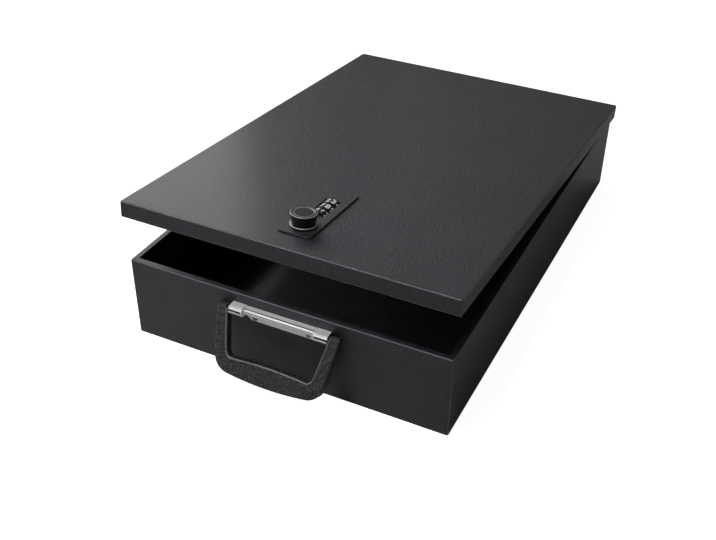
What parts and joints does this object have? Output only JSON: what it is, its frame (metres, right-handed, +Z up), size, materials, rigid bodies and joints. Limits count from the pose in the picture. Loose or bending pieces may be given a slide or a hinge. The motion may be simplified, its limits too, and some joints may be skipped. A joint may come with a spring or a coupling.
{
  "type": "document box",
  "caption": "Shallow sheet-steel document box with a hinged lid standing ajar, a three-dial combination lock with a turning knob and latch, and a folding carrying handle.",
  "frame": {"origin": "middle of the flat underside of the box, on the surface it rests on", "axes": "+Z up, -Y towards the front wall with the handle, +X to the right seen from the front"},
  "size_m": [0.3672, 0.5945, 0.1769],
  "materials": {
    "black_paint": "fine wrinkled semi-gloss black enamel",
    "zinc_steel": "bright zinc plated",
    "chrome": "polished",
    "brass": "drawn",
    "lock_black": "satin black",
    "black_plastic": "satin black",
    "rubber": "matte"
  },
  "bodies": {
    "body": {"body_tray": "black_paint", "hinge_leaf_body": "zinc_steel", "hinge_pin": "zinc_steel", "handle_bracket": "chrome", "bracket_backing_plate": "zinc_steel", "bracket_rivets": "zinc_steel"},
    "lid": {"lid_pan": "black_paint", "lid_buffers": "rubber", "hinge_leaf_lid": "zinc_steel", "lock_plate": "lock_black", "lock_case": "lock_black", "lock_screws": "zinc_steel", "dial_axle": "brass", "dial_detent_spring": "zinc_steel", "knob_collar": "lock_black"},
    "knob": {"knob": "lock_black", "knob_spindle": "zinc_steel", "cam_latch": "zinc_steel", "cam_washer": "zinc_steel", "cam_nut": "zinc_steel"},
    "dial_1": {"dial_wheel_1": "black_plastic"},
    "dial_2": {"dial_wheel_2": "black_plastic"},
    "dial_3": {"dial_wheel_3": "black_plastic"},
    "handle": {"handle_loop": "black_plastic"}
  },
  "joints": [
    {"name": "lid_hinge", "type": "hinge", "parent": "body", "child": "lid", "pos_m": [0, 0.2751, 0.0926], "axis": [-1, 0, 0], "range_deg": [-5.2, 114.8]},
    {"name": "handle_swing", "type": "hinge", "parent": "body", "child": "handle", "pos_m": [0, -0.2812, 0.078], "axis": [-1, 0, 0], "range_deg": [-24, 135]},
    {"name": "knob_turn", "type": "hinge", "parent": "lid", "child": "knob", "pos_m": [0, -0.22747, 0.16103], "axis": [0, 0.0906, 0.9959], "range_deg": [-90, 0]},
    {"name": "dial_1_turn", "type": "hinge", "parent": "lid", "child": "dial_1", "pos_m": [0, -0.19627, 0.15076], "axis": [0, 0.9959, -0.0906], "continuous": true},
    {"name": "dial_2_turn", "type": "hinge", "parent": "lid", "child": "dial_2", "pos_m": [0, -0.18372, 0.14962], "axis": [0, 0.9959, -0.0906], "continuous": true},
    {"name": "dial_3_turn", "type": "hinge", "parent": "lid", "child": "dial_3", "pos_m": [0, -0.17117, 0.14848], "axis": [0, 0.9959, -0.0906], "continuous": true}
  ]
}
